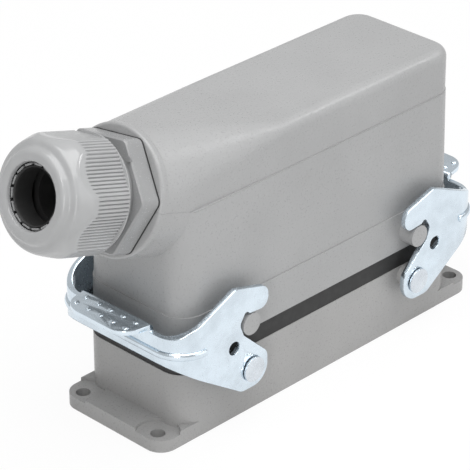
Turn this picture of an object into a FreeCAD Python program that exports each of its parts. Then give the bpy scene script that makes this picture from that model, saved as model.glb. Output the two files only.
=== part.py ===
import FreeCAD, Part
import math
import os
import Sketcher

# Heavy duty rectangular connector, 24 contacts: bulkhead base with two
# locking levers, hood with an angled side entry, cable gland and the two
# contact inserts inside. Millimetres, +Z up, the panel face is z = 0, the
# origin is the middle of the four panel holes, the gland is at -X.

os.makedirs("parts", exist_ok=True)
doc = FreeCAD.newDocument("rectangular_connector")
sheet = doc.addObject("Spreadsheet::Sheet", "sizes")
V = FreeCAD.Vector

# Driving dimensions. A size named past or in is a step from its neighbour's face.
SIZES = {
    # base housing and its flange
    "base_half_len": 59.9, "base_half_wid": 21.35, "base_corner": 8.0, "base_top": 21.7,
    "wall": 3.5, "inner_corner": 4.6,
    "flange_past": 9.1, "flange_in": 0.05, "flange_corner": 5.6, "flange_thick": 5.1,
    "hole_past": 5.1, "hole_in": 5.35, "mount_hole_r": 2.25, "pad_drop": 1.1, "pad_r": 6.6,
    "seal_gap_out": 1.05, "seal_wide": 1.5, "seal_deep": 1.3,
    # rim gasket between base and hood
    "rim_high": 6.0, "rim_inset": 0.25,
    # hood
    "hood_in_len": 0.5, "hood_in_wid": 0.15, "hood_high": 61.0, "hood_draft": 0.85,
    "hood_round": 3.4, "skirt_high": 12.9, "skirt_step": 0.3, "roof": 3.5,
    "parting_high": 46.7, "parting_step": 0.2, "shoulder_start": -17.0, "shoulder_foot": 16.0,
    "shoulder_drop": 35.2, "shoulder_flat": 0.1,
    # angled cable entry
    "neck_past": 6.0, "neck_drop": 10.3, "neck_tilt": 17.5, "neck_in": 1.7, "collar_len": 2.5,
    "collar_sink": 0.2, "collar_round": 1.0, "chamber_wall": 3.5, "chamber_start": 11.0,
    "chamber_len": 31.0,
    # locking: pegs on the hood, pivots on the base
    "peg_in": 23.1, "peg_rise": 5.8, "peg_r": 3.5, "pivot_in": 0.4, "pivot_drop": 3.5,
    "pivot_boss_r": 3.5, "side_gap": 0.3, "rivet_r": 2.0, "bearing_r": 2.6,
    "bearing_gap": 0.05, "rivet_head_r": 4.0, "rivet_head": 0.7, "head_gap": 0.2,
    # stamped lever
    "lever_out": 5.45, "lever_thick": 1.8, "band_past": 6.1, "lever_bend": 10.0,
    "lever_lobe": 6.2, "band_rise": 1.2, "band_wide": 9.0, "bead_rise": 2.2, "bead_wide": 2.2,
    "bead_out": 0.4, "bead_back": 1.5, "leg_back": 9.0, "thumb_reach": 8.9, "thumb_half": 14.2,
    "thumb_rise": 2.2,
    "thumb_corner": 7.0, "thumb_in": 1.5, "slot_r": 2.1, "slot_past": 7.7, "slot_rise": 10.1,
    "pip_r": 0.8, "pip_high": 0.4, "pip_pitch": 5.2, "pip_rows": 4.1, "pip_past": 1.5,
    # cable gland, M25 size
    "gland_flats": 33.0, "hex_corner": 2.2, "hex_thick": 5.8, "hex_chamfer": 0.45, "ring_thick": 0.9,
    "hex_pip_x": 10.3, "hex_pip_y": 13.1, "hex_pip_r": 0.8, "hex_pip_high": 0.5,
    "ring_wide": 3.4, "gland_thread_r": 12.4, "gland_thread_len": 8.5, "gland_neck_r": 14.6,
    "gland_neck_len": 14.8, "cable_r": 9.5, "cup_wall": 1.9, "cup_back": 1.1,
    "seal_r": 7.9, "seal_wall": 2.1, "seal_in": 0.6,
    "nut_back": 3.3, "nut_len": 21.9, "nut_round_r": 17.75, "nut_mouth_r": 9.6,
    "nut_skirt_in": 0.45, "nut_skirt_len": 0.9, "nut_fit": 0.3, "nut_chamfer": 0.45,
    "nut_bore_len": 13.8, "claw_room": 1.5,
    "rib_count": 96, "rib_deep": 0.42, "rib_len": 11.3, "rib_arch": 1.84, "rib_core_in": 0.5,
    "claw_slots": 10, "claw_slot_wide": 1.3, "claw_wall": 1.3, "claw_fit": 0.4, "claw_in": 2.0,
    "claw_tip_in": 0.2, "claw_tip_wide": 1.0, "claw_step": 0.4, "claw_slot_start": 5.0,
    # contact inserts
    "insert_gap_len": 0.9, "insert_gap_wid": 0.85, "fixing_in": 3.5, "insert_flange": 4.0,
    "block_in_len": 10.5, "block_in_wid": 3.8, "block_corner": 1.5, "base_shelf": 8.0,
    "shelf_deep": 6.0, "shelf_r": 4.8, "insert_foot": 1.5, "mate_rise": 8.3, "mate_gap": 0.3,
    "shelf_rise": 24.0, "block_rise": 9.0,
    "contact_margin": 6.5, "contact_in": 6.7, "socket_r": 2.1, "socket_bore_r": 1.45,
    "socket_foot": 6.0, "socket_bore_foot": 12.0, "pin_r": 1.25, "pin_reach": 17.0,
    "pin_back": 6.0, "terminal_in": 2.2, "terminal_r": 1.5, "terminal_len": 6.0,
    "terminal_sink": 0.5, "fixing_r": 1.9, "fixing_bite": 5.0, "fixing_head_r": 3.5,
    "fixing_head": 2.4, "plate_thick": 1.0, "plate_gap": 1.0, "plate_in": 0.5, "fit_gap": 0.1,
}
for row, (alias, number) in enumerate(SIZES.items(), start=1):
    sheet.set(f"A{row}", alias)
    sheet.set(f"B{row}", str(number))
    sheet.setAlias(f"B{row}", alias)
doc.recompute()


class Size:
    """A length with its number and the cell expression that gives it."""

    def __init__(self, number, text):
        self.number = float(number)
        self.text = text

    @staticmethod
    def of(other):
        return other if isinstance(other, Size) else Size(other, repr(float(other)))

    def __add__(self, other):
        o = Size.of(other)
        return Size(self.number + o.number, f"({self.text} + {o.text})")

    def __sub__(self, other):
        o = Size.of(other)
        return Size(self.number - o.number, f"({self.text} - {o.text})")

    def __rsub__(self, other):
        return Size.of(other) - self

    def __mul__(self, other):
        o = Size.of(other)
        return Size(self.number * o.number, f"({self.text} * {o.text})")

    def __truediv__(self, other):
        o = Size.of(other)
        return Size(self.number / o.number, f"({self.text} / {o.text})")

    def __neg__(self):
        return Size(-self.number, f"(-1 * {self.text})")

    __radd__ = __add__
    __rmul__ = __mul__


FOLLOWS = {}


def cell(name):
    """A named size: a cell of the sheet, or one that follows from the cells."""
    return FOLLOWS.get(name) or Size(sheet.get(name), f"sizes.{name}")


def follow(name, value):
    FOLLOWS[name] = value
    return value


def num(value):
    return Size.of(value).number


def bind(thing, prop, value):
    thing.setExpression(prop, Size.of(value).text)


# Sizes and places that follow from the ones above, so that what meets fits
CONTACTS = 12
follow("flange_half_len", cell("base_half_len") + cell("flange_past"))
follow("flange_half_wid", cell("base_half_wid") - cell("flange_in"))
follow("hole_x", cell("base_half_len") + cell("hole_past"))
follow("hole_y", cell("base_half_wid") - cell("hole_in"))
follow("rim_top", cell("base_top") + cell("rim_high"))
follow("hood_half_len", cell("base_half_len") - cell("hood_in_len"))
follow("hood_half_wid", cell("base_half_wid") - cell("hood_in_wid"))
follow("hood_top", cell("rim_top") + cell("hood_high"))
follow("skirt_top", cell("rim_top") + cell("skirt_high"))
follow("parting_z", cell("rim_top") + cell("parting_high"))
follow("neck_x", cell("base_half_len") + cell("neck_past"))
follow("neck_z", cell("hood_top") - cell("neck_drop"))
follow("neck_r", cell("hood_half_wid") - cell("neck_in"))
follow("entry_r", cell("gland_thread_r") + cell("fit_gap"))
follow("chamber_r", cell("neck_r") - cell("chamber_wall"))
follow("peg_x", cell("base_half_len") - cell("peg_in"))
follow("peg_z", cell("rim_top") + cell("peg_rise"))
follow("pivot_x", cell("peg_x") - cell("pivot_in"))
follow("pivot_z", cell("base_top") - cell("pivot_drop"))
follow("lever_face", cell("base_half_wid") + cell("lever_out"))
follow("lever_end", cell("base_half_len") + cell("band_past"))
follow("band_low", cell("rim_top") + cell("band_rise"))
follow("band_high", cell("band_low") + cell("band_wide"))
follow("bead_low", cell("band_low") + cell("bead_rise"))
follow("thumb_top", cell("band_high") + cell("thumb_rise"))
follow("hex_end", cell("ring_thick") + cell("hex_thick"))
follow("gland_neck_end", cell("hex_end") + cell("gland_neck_len"))
follow("nut_start", cell("hex_end") + cell("nut_back"))
follow("nut_end", cell("nut_start") + cell("nut_len"))
follow("nut_bore_r", cell("gland_neck_r") + cell("nut_fit"))
follow("cup_r", cell("gland_neck_r") - cell("cup_wall"))
follow("cup_start", cell("hex_end") + cell("cup_back"))
follow("insert_half_len", cell("base_half_len") - cell("wall") - cell("insert_gap_len"))
follow("insert_half_wid", cell("base_half_wid") - cell("wall") - cell("insert_gap_wid"))
follow("fixing_x", cell("insert_half_len") - cell("fixing_in"))
follow("fixing_y", cell("insert_half_wid") - cell("fixing_in"))
follow("block_half_len", cell("insert_half_len") - cell("block_in_len"))
follow("block_half_wid", cell("insert_half_wid") - cell("block_in_wid"))
follow("row_half", cell("block_half_len") - cell("contact_margin"))
follow("contact_pitch", cell("row_half") * 2 / (CONTACTS - 1))
follow("contact_row", cell("block_half_wid") - cell("contact_in"))
follow("screw_row", cell("block_half_wid") - cell("terminal_in"))
follow("insert_low", cell("base_shelf") - cell("insert_foot"))
follow("mate_level", cell("rim_top") + cell("mate_rise"))
follow("hood_shelf", cell("mate_level") + cell("shelf_rise"))
follow("block_end", cell("hood_shelf") + cell("block_rise"))

# Places along the tilted gland axis, measured outward from the neck's face
TILT = math.radians(num(cell("neck_tilt")))
COS = Size(math.cos(TILT), "cos(sizes.neck_tilt * 1 deg)")
SIN = Size(math.sin(TILT), "sin(sizes.neck_tilt * 1 deg)")
GLAND_TURN = FreeCAD.Rotation(V(0, -1, 0), V(SIN.number, 0, COS.number),
                              V(-COS.number, 0, SIN.number), "ZXY")


def on_gland_axis(thing, prop, along):
    """Puts a placement property on the gland axis, its Z pointing outward."""
    x = -cell("neck_x") - COS * along
    z = cell("neck_z") + SIN * along
    setattr(thing, prop, FreeCAD.Placement(V(num(x), 0, num(z)), GLAND_TURN))
    bind(thing, f"{prop}.Base.x", x)
    bind(thing, f"{prop}.Base.z", z)


# Sketch helpers
def plane_of(body, role):
    return next(f for f in body.Origin.OriginFeatures if f.Role == role)


def new_body(name):
    body = doc.addObject("PartDesign::Body", name)
    body.Label = name
    return body


def new_sketch(body, name, role="XY_Plane", level=None):
    sketch = body.newObject("Sketcher::SketchObject", name)
    sketch.AttachmentSupport = [(plane_of(body, role), "")]
    sketch.MapMode = "FlatFace"
    if level is not None:
        sketch.AttachmentOffset = FreeCAD.Placement(V(0, 0, num(level)), FreeCAD.Rotation())
        bind(sketch, "AttachmentOffset.Base.z", level)
    return sketch


def fix(sketch, kind, geo, point, value):
    """Holds one point of the sketch at a bound distance from the origin."""
    index = sketch.addConstraint(Sketcher.Constraint(kind, -1, 1, geo, point, num(value)))
    bind(sketch, f"Constraints[{index}]", value)


def draw_circle(sketch, x, y, r):
    geo = sketch.addGeometry(Part.Circle(V(num(x), num(y), 0), V(0, 0, 1), num(r)))
    index = sketch.addConstraint(Sketcher.Constraint("Radius", geo, num(r)))
    bind(sketch, f"Constraints[{index}]", r)
    fix(sketch, "DistanceX", geo, 3, x)
    fix(sketch, "DistanceY", geo, 3, y)


def draw_four(sketch, half_x, half_y, r):
    for sx in (-1, 1):
        for sy in (-1, 1):
            draw_circle(sketch, half_x * sx, half_y * sy, r)


def draw_regular(sketch, x, y, r, sides):
    """A regular polygon round (x, y), its corners at the radius r."""
    points = []
    for i in range(sides):
        a = 2 * math.pi * i / sides
        points.append((Size.of(x) + Size.of(r) * math.cos(a), Size.of(y) + Size.of(r) * math.sin(a)))
    draw_polygon(sketch, points)


def draw_rounded_box(sketch, half_x, half_y, r):
    """A centred rectangle with four equal corner arcs, fully constrained."""
    a, b, c = num(half_x), num(half_y), num(r)
    corners = [(a - c, -b + c, -90), (a - c, b - c, 0), (-a + c, b - c, 90), (-a + c, -b + c, 180)]
    lines = [(-a + c, -b, a - c, -b), (a, -b + c, a, b - c), (a - c, b, -a + c, b),
             (-a, b - c, -a, -b + c)]
    line_ids = [sketch.addGeometry(Part.LineSegment(V(p, q, 0), V(s, t, 0))) for p, q, s, t in lines]
    arc_ids = []
    for x, y, start in corners:
        circle = Part.Circle(V(x, y, 0), V(0, 0, 1), c)
        arc = Part.ArcOfCircle(circle, math.radians(start), math.radians(start + 90))
        arc_ids.append(sketch.addGeometry(arc))
    for i in range(4):
        sketch.addConstraint(Sketcher.Constraint("Tangent", line_ids[i], 2, arc_ids[i], 1))
        sketch.addConstraint(Sketcher.Constraint("Tangent", arc_ids[i], 2, line_ids[(i + 1) % 4], 1))
        kind = "Horizontal" if i % 2 == 0 else "Vertical"
        sketch.addConstraint(Sketcher.Constraint(kind, line_ids[i]))
        if i:
            sketch.addConstraint(Sketcher.Constraint("Equal", arc_ids[0], arc_ids[i]))
    sketch.addConstraint(Sketcher.Constraint("Symmetric", arc_ids[0], 3, arc_ids[2], 3, -1, 1))
    fix(sketch, "DistanceX", line_ids[1], 1, half_x)
    fix(sketch, "DistanceY", line_ids[2], 1, half_y)
    index = sketch.addConstraint(Sketcher.Constraint("Radius", arc_ids[0], c))
    bind(sketch, f"Constraints[{index}]", r)


def draw_polygon(sketch, points):
    """A closed polygon whose vertices are each held by bound distances."""
    ids = []
    count = len(points)
    for i, (x, y) in enumerate(points):
        far_x, far_y = points[(i + 1) % count]
        line = Part.LineSegment(V(num(x), num(y), 0), V(num(far_x), num(far_y), 0))
        ids.append(sketch.addGeometry(line))
    for i, (x, y) in enumerate(points):
        fix(sketch, "DistanceX", ids[i], 1, x)
        fix(sketch, "DistanceY", ids[i], 1, y)
        sketch.addConstraint(Sketcher.Constraint("Coincident", ids[i - 1], 2, ids[i], 1))


def draw_outline(sketch, points):
    """A closed outline of lines with a rounded corner at each (x, y, radius)."""
    count = len(points)
    tangents = []
    for i, (x, y, r) in enumerate(points):
        here = V(x, y, 0)
        back = (V(*points[i - 1][:2], 0) - here).normalize()
        ahead = (V(*points[(i + 1) % count][:2], 0) - here).normalize()
        half = back.getAngle(ahead) / 2
        if r <= 0 or half > math.radians(89.5):
            tangents.append((here, None, here))
            continue
        reach = r / math.tan(half)
        middle = here + (back + ahead).normalize() * (r / math.sin(half) - r)
        tangents.append((here + back * reach, middle, here + ahead * reach))
    pieces = []
    for i, (entry, middle, leave) in enumerate(tangents):
        if middle is not None:
            pieces.append((entry, leave, Part.Arc(entry, middle, leave)))
        nxt = tangents[(i + 1) % count][0]
        if (nxt - leave).Length > 1e-4:
            pieces.append((leave, nxt, Part.LineSegment(leave, nxt)))
    for start, end, geometry in pieces:
        sketch.addConstraint(Sketcher.Constraint("Block", sketch.addGeometry(geometry)))


def pad(body, name, sketch, length, middle=False, back=False, taper=None):
    feature = body.newObject("PartDesign::Pad", name)
    feature.Profile = sketch
    feature.Length = num(length)
    bind(feature, "Length", length)
    feature.Midplane = middle
    feature.Reversed = back
    if taper is not None:
        bind(feature, "TaperAngle", -taper)
    sketch.Visibility = False
    return feature


def pocket(body, name, sketch, length=None, middle=False, back=False):
    feature = body.newObject("PartDesign::Pocket", name)
    feature.Profile = sketch
    if length is None:
        feature.Type = 1
    else:
        feature.Length = num(length)
        bind(feature, "Length", length)
    feature.Midplane = middle
    feature.Reversed = back
    sketch.Visibility = False
    return feature


def edges_at(feature, test):
    found = []
    for i, edge in enumerate(feature.Shape.Edges, start=1):
        if all(test(v.Point) for v in edge.Vertexes):
            found.append(f"Edge{i}")
    return found


def round_edges(body, name, feature, test, size, kind="Fillet", skip=None):
    doc.recompute()
    dressed = body.newObject(f"PartDesign::{kind}", name)
    left_out = edges_at(feature, skip) if skip else []
    dressed.Base = (feature, [e for e in edges_at(feature, test) if e not in left_out])
    prop = "Radius" if kind == "Fillet" else "Size"
    bind(dressed, prop, size)
    body.Tip = dressed
    return dressed


# Base housing: flange with four sunk hole pads, open box, pivot bosses
inner_len = cell("base_half_len") - cell("wall")
inner_wid = cell("base_half_wid") - cell("wall")
base = new_body("base_housing")
s = new_sketch(base, "flange_outline")
draw_rounded_box(s, cell("flange_half_len"), cell("flange_half_wid"), cell("flange_corner"))
pad(base, "flange", s, cell("flange_thick"))
s = new_sketch(base, "hole_pads", level=cell("flange_thick"))
draw_four(s, cell("hole_x"), cell("hole_y"), cell("pad_r"))
pocket(base, "sunk_pads", s, cell("pad_drop"))
s = new_sketch(base, "box_outline")
draw_rounded_box(s, cell("base_half_len"), cell("base_half_wid"), cell("base_corner"))
pad(base, "box", s, cell("base_top"))
s = new_sketch(base, "pivot_places", "XZ_Plane")
boss_face = cell("lever_face") - cell("lever_thick") - cell("side_gap")
for side in (-1, 1):
    draw_circle(s, cell("pivot_x") * side, cell("pivot_z"), cell("pivot_boss_r"))
# the bosses stop below the rim, and the box is hollowed after them
pad(base, "pivot_bosses", s, boss_face * 2, middle=True)
s = new_sketch(base, "hollow")
draw_rounded_box(s, inner_len, inner_wid, cell("inner_corner"))
pocket(base, "cavity", s, None, back=True)
s = new_sketch(base, "shelves", level=cell("base_shelf"))
draw_four(s, cell("fixing_x"), cell("fixing_y"), cell("shelf_r"))
pad(base, "insert_shelves", s, cell("shelf_deep"), back=True)
s = new_sketch(base, "shelf_holes", level=cell("base_shelf"))
draw_four(s, cell("fixing_x"), cell("fixing_y"),
          cell("fixing_r") + cell("fit_gap"))
pocket(base, "tapped_holes", s, cell("shelf_deep") + 1)
s = new_sketch(base, "mount_holes", level=cell("flange_thick"))
draw_four(s, cell("hole_x"), cell("hole_y"), cell("mount_hole_r"))
pocket(base, "panel_holes", s)
s = new_sketch(base, "seal_track")
seal_len = cell("base_half_len") - cell("seal_gap_out")
seal_wid = cell("base_half_wid") - cell("seal_gap_out")
seal_corner = cell("base_corner") - cell("seal_gap_out")
draw_rounded_box(s, seal_len, seal_wid, seal_corner)
draw_rounded_box(s, seal_len - cell("seal_wide"), seal_wid - cell("seal_wide"),
                 seal_corner - cell("seal_wide"))
pocket(base, "seal_groove", s, cell("seal_deep"), back=True)
s = new_sketch(base, "rivet_holes", "XZ_Plane")
for side in (-1, 1):
    draw_circle(s, cell("pivot_x") * side, cell("pivot_z"), cell("rivet_r") + cell("fit_gap") / 2)
pivots = pocket(base, "rivet_bores", s, boss_face * 2 + 2, middle=True)

# Panel seal in the groove under the base
seal = new_body("panel_seal")
s = new_sketch(seal, "seal_outline", level=cell("fit_gap"))
gap = cell("fit_gap")
draw_rounded_box(s, seal_len - gap, seal_wid - gap, seal_corner - gap)
draw_rounded_box(s, seal_len - cell("seal_wide") + gap, seal_wid - cell("seal_wide") + gap,
                 seal_corner - cell("seal_wide") + gap)
pad(seal, "seal_ring", s, cell("seal_deep") - gap * 2)

# Rim gasket, the black strip between base and hood
rim = new_body("rim_gasket")
s = new_sketch(rim, "rim_outline", level=cell("base_top"))
draw_rounded_box(s, cell("base_half_len") - cell("rim_inset"),
                 cell("base_half_wid") - cell("rim_inset"), cell("base_corner") - cell("rim_inset"))
draw_rounded_box(s, inner_len, inner_wid, cell("inner_corner"))
pad(rim, "rim_ring", s, cell("rim_top") - cell("base_top"))

# Hood: drafted box up to the parting line, a block and a shoulder above it that
# runs from the block's square section to the round neck of the cable entry
hood = new_body("hood_housing")
draft = math.tan(math.radians(num(cell("hood_draft"))))
s = new_sketch(hood, "box_line", level=cell("rim_top"))
draw_rounded_box(s, cell("hood_half_len"), cell("hood_half_wid"), cell("base_corner"))
pad(hood, "hood_box", s, cell("parting_high"), taper=cell("hood_draft"))
s = new_sketch(hood, "skirt_outline", level=cell("rim_top"))
draw_rounded_box(s, cell("hood_half_len") + cell("skirt_step"),
                 cell("hood_half_wid") + cell("skirt_step"),
                 cell("base_corner") + cell("skirt_step"))
pad(hood, "skirt", s, cell("skirt_high"), taper=cell("hood_draft"))
step = num(cell("parting_step")) + num(cell("parting_high")) * draft
block_len = num(cell("hood_half_len")) - step
block_wid = num(cell("hood_half_wid")) - step
shoulder_x = num(cell("shoulder_start"))
s = new_sketch(hood, "block_outline", level=cell("parting_z"))
draw_outline(s, [(shoulder_x, -block_wid, 0), (block_len, -block_wid, num(cell("base_corner")) - step),
                 (block_len, block_wid, num(cell("base_corner")) - step), (shoulder_x, block_wid, 0)])
block = pad(hood, "upper_block", s, cell("hood_top") - cell("parting_z"))
roof = num(cell("hood_top"))
round_edges(hood, "roof_round", block,
            lambda p: abs(p.z - roof) < 1e-3, cell("hood_round"),
            skip=lambda p: abs(p.x - shoulder_x) < 1e-3)
foot = num(cell("shoulder_foot"))
s = new_sketch(hood, "shoulder_square", "YZ_Plane", level=cell("shoulder_start"))
corner = num(cell("hood_round"))
low = num(cell("neck_z")) - num(cell("shoulder_drop"))
draw_outline(s, [(-block_wid, low, foot), (block_wid, low, foot),
                 (block_wid, roof, corner), (-block_wid, roof, corner)])
square = s
s = new_sketch(hood, "shoulder_round")
on_gland_axis(s, "AttachmentOffset", -cell("collar_len"))
r = num(cell("neck_r"))
arc_r = r - num(cell("shoulder_flat"))
draw_outline(s, [(r, -r, arc_r), (-r, -r, arc_r), (-r, r, arc_r), (r, r, arc_r)])
shoulder = hood.newObject("PartDesign::AdditiveLoft", "shoulder")
shoulder.Profile = square
shoulder.Sections = [s]
shoulder.Ruled = True
square.Visibility = False
s.Visibility = False
s = new_sketch(hood, "collar_outline")
on_gland_axis(s, "AttachmentOffset", 0)
draw_circle(s, 0, 0, cell("neck_r"))
collar = pad(hood, "collar", s, cell("collar_len") + cell("collar_sink"), back=True)
face_x = num(cell("neck_x"))
face_z = num(cell("neck_z"))


def on_neck_face(p):
    along = -(p.x + face_x) * COS.number + (p.z - face_z) * SIN.number
    return abs(along) < 1e-3


round_edges(hood, "collar_edge", collar, on_neck_face, cell("collar_round"))
s = new_sketch(hood, "peg_outline", "XZ_Plane")
for side in (-1, 1):
    draw_circle(s, cell("peg_x") * side, cell("peg_z"), cell("peg_r"))
pad(hood, "pegs", s, cell("lever_face") * 2, middle=True)
s = new_sketch(hood, "hood_hollow", level=cell("rim_top"))
draw_rounded_box(s, inner_len, inner_wid, cell("inner_corner"))
pocket(hood, "hood_cavity", s, cell("parting_high"), back=True)
s = new_sketch(hood, "block_hollow", level=cell("parting_z"))
hollow_wid = block_wid - num(cell("wall"))
hollow_len = block_len - num(cell("wall"))
hollow_round = num(cell("inner_corner"))
draw_outline(s, [(shoulder_x, -hollow_wid, hollow_round), (hollow_len, -hollow_wid, hollow_round),
                 (hollow_len, hollow_wid, hollow_round), (shoulder_x, hollow_wid, hollow_round)])
pocket(hood, "block_cavity", s, cell("hood_top") - cell("roof") - cell("parting_z"), back=True)
s = new_sketch(hood, "entry_outline")
on_gland_axis(s, "AttachmentOffset", 0)
draw_circle(s, 0, 0, cell("entry_r"))
pocket(hood, "cable_entry", s, cell("chamber_start") + cell("wall"))
s = new_sketch(hood, "chamber_outline")
on_gland_axis(s, "AttachmentOffset", -cell("chamber_start"))
draw_circle(s, 0, 0, cell("chamber_r"))
pocket(hood, "chamber", s, cell("chamber_len"))
s = new_sketch(hood, "hood_shelves", level=cell("hood_shelf"))
draw_four(s, cell("fixing_x"), cell("fixing_y"), cell("shelf_r"))
pad(hood, "hood_insert_shelves", s, cell("shelf_deep"))
s = new_sketch(hood, "hood_shelf_holes", level=cell("hood_shelf"))
draw_four(s, cell("fixing_x"), cell("fixing_y"), cell("fixing_r") + cell("fit_gap"))
pocket(hood, "hood_tapped_holes", s, cell("shelf_deep"), back=True)

# Lever pivots: shouldered rivets, one for each lever leg
RIVETS = []
head_start = cell("lever_face") + cell("head_gap")
for sx in (-1, 1):
    for sy in (-1, 1):
        steps = [
            ("shank", cell("rivet_r"), cell("base_half_wid") - cell("wall") / 2, boss_face),
            ("bearing", cell("bearing_r"), boss_face, head_start),
            ("head", cell("rivet_head_r"), head_start, head_start + cell("rivet_head")),
        ]
        discs = []
        for part_name, r, start, end in steps:
            disc = doc.addObject("Part::Cylinder", f"rivet_{part_name}")
            bind(disc, "Radius", r)
            bind(disc, "Height", end - start)
            turn = FreeCAD.Rotation(V(1, 0, 0), -90 * sy)
            disc.Placement = FreeCAD.Placement(V(0, 0, 0), turn)
            bind(disc, "Placement.Base.x", cell("pivot_x") * sx)
            bind(disc, "Placement.Base.y", start * sy)
            bind(disc, "Placement.Base.z", cell("pivot_z"))
            discs.append(disc)
        rivet = doc.addObject("Part::MultiFuse", "rivet")
        rivet.Shapes = discs
        RIVETS.append(rivet)
rivets = doc.addObject("Part::Compound", "pivot_rivets")
rivets.Links = RIVETS


# Locking lever: a U stamped from sheet, legs with hook and lobe, round band
def lever_side(side):
    """The side outline of a leg as (x, z, corner radius), outward times side."""
    px, pz = num(cell("pivot_x")), num(cell("pivot_z"))
    gx, gz = num(cell("peg_x")), num(cell("peg_z"))
    lobe = num(cell("lever_lobe"))
    low, high = num(cell("band_low")), num(cell("band_high"))
    end = num(cell("lever_end"))
    grip = num(cell("peg_r")) + num(cell("side_gap"))
    points = [
        (px - lobe, pz - lobe, lobe * 0.97),
        (px - lobe, pz + 3.4, 4.0),
        (gx + 3.3, gz - 2.5, 1.0),
        (gx + grip + 1.0, gz + 1.5, 2.2),
        (gx + 2.4, gz + grip + 1.5, 0.9),
        (gx + 0.9, gz + grip + 0.15, 0.5),
        (gx - 7.0, gz + grip - 0.5, 3.2),
        (gx - 6.8, gz + 10.3, 3.6),
        (px + 7.0, gz + 14.2, 2.6),
        (end - 4.4, high + 1.6, 3.0),
        (end - 1.9, high, 1.6),
        (end + 2.0, high, 0),
        (end + 2.0, low, 0),
        (end + 0.2, low, 1.5),
        (px + 4.6, pz - lobe, 4.0),
    ]
    return [(x * side, z, r) for x, z, r in points]


def lever(name, side):
    body = new_body(name)
    thick = num(cell("lever_thick"))
    end, face, bend = num(cell("lever_end")), num(cell("lever_face")), num(cell("lever_bend"))
    tip = num(cell("peg_x")) - num(cell("leg_back"))

    def u_shape(sketch, grow, start, inner):
        outline = [
            (start * side, face + grow, 0), ((end + grow) * side, face + grow, bend + grow),
            ((end + grow) * side, -face - grow, bend + grow), (start * side, -face - grow, 0),
            (start * side, -face + inner, 0), ((end - inner) * side, -face + inner, bend - inner),
            ((end - inner) * side, face - inner, bend - inner), (start * side, face - inner, 0),
        ]
        draw_outline(sketch, outline)

    strip = new_sketch(body, f"{name}_strip", level=cell("pivot_z") - cell("lever_lobe") - 1)
    u_shape(strip, 0, tip, thick)
    pad(body, f"{name}_bent", strip, cell("thumb_top") - cell("pivot_z") + cell("lever_lobe") * 3)
    cut = new_sketch(body, f"{name}_side", "XZ_Plane")
    draw_outline(cut, lever_side(side))
    reach = num(cell("hood_top")) + 30
    far = [(-reach, -reach), (reach, -reach), (reach, reach), (-reach, reach)]
    draw_polygon(cut, [(Size.of(x), Size.of(y)) for x, y in far])
    pocket(body, f"{name}_stamped", cut, cell("lever_face") * 2 + 4, middle=True)
    bead = new_sketch(body, f"{name}_bead_line", level=cell("bead_low"))
    u_shape(bead, num(cell("bead_out")), end - bend - num(cell("bead_back")), thick * 0.6)
    pad(body, f"{name}_bead", bead, cell("bead_wide"))
    # the band rises to the thumb plate, which is bent outward on top of it
    half, corner = num(cell("thumb_half")), num(cell("thumb_corner"))
    riser = new_sketch(body, f"{name}_riser_line", level=cell("band_high") - 1)
    draw_outline(riser, [((end - thick) * side, half, 0), (end * side, half, 0),
                         (end * side, -half, 0), ((end - thick) * side, -half, 0)])
    pad(body, f"{name}_riser", riser, cell("thumb_top") - cell("band_high") + 1)
    reach_x = end + num(cell("thumb_reach"))
    thumb = new_sketch(body, f"{name}_thumb_line", level=cell("thumb_top"))
    tip_half = half - num(cell("thumb_in"))
    draw_outline(thumb, [((end - thick) * side, half, 0.3), (reach_x * side, tip_half, corner),
                         (reach_x * side, -tip_half, corner), ((end - thick) * side, -half, 0.3)])
    plate = pad(body, f"{name}_thumb", thumb, cell("lever_thick") * 0.9, back=True)
    top = num(cell("thumb_top"))
    inner = (end - thick) * side
    round_edges(body, f"{name}_thumb_bend", plate,
                lambda p: abs(p.z - top) < 1e-3 and abs(p.x - inner) < 0.35, cell("lever_thick") * 0.8)
    pips = new_sketch(body, f"{name}_pips", level=cell("thumb_top"))
    for row in (0, 1):
        for column in range(-2, 3):
            x = (cell("lever_end") + cell("pip_past") + cell("pip_rows") * row) * side
            draw_regular(pips, x, cell("pip_pitch") * column, cell("pip_r"), 8)
    pad(body, f"{name}_grip", pips, cell("pip_high"))
    holes = new_sketch(body, f"{name}_holes", "XZ_Plane")
    draw_circle(holes, cell("pivot_x") * side, cell("pivot_z"),
                cell("bearing_r") + cell("bearing_gap"))
    draw_circle(holes, (cell("pivot_x") + cell("slot_past")) * side,
                cell("pivot_z") + cell("slot_rise"), cell("slot_r"))
    pocket(body, f"{name}_punched", holes, cell("lever_face") * 2 + 4, middle=True)
    return body


lever_left = lever("lever_left", -1)
lever_right = lever("lever_right", 1)

# Cable gland, built upright along its own Z and laid on the neck's axis
HEX_TURN = math.radians(8.0)


def hexagon(sketch, flats, corner):
    tip = flats / 2 / math.cos(math.pi / 6)
    points = []
    for i in range(6):
        a = HEX_TURN + i * math.pi / 3
        points.append((tip * math.cos(a), tip * math.sin(a), corner))
    draw_outline(sketch, points)


gland = new_body("gland_body")
ring = cell("ring_thick")
hex_end = cell("hex_end")
s = new_sketch(gland, "spigot_outline", level=-cell("gland_thread_len"))
draw_circle(s, 0, 0, cell("gland_thread_r"))
pad(gland, "spigot", s, cell("gland_thread_len") + ring + 1)
s = new_sketch(gland, "hex_outline", level=ring)
hexagon(s, num(cell("gland_flats")), num(cell("hex_corner")))
nut_hex = pad(gland, "hex_flange", s, cell("hex_thick"))
hex_low, hex_high = num(ring), num(hex_end)
neck_edge = num(cell("gland_neck_r"))


def on_hex_rim(p):
    level = min(abs(p.z - hex_low), abs(p.z - hex_high))
    return math.hypot(p.x, p.y) > neck_edge and level < 1e-3


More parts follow.
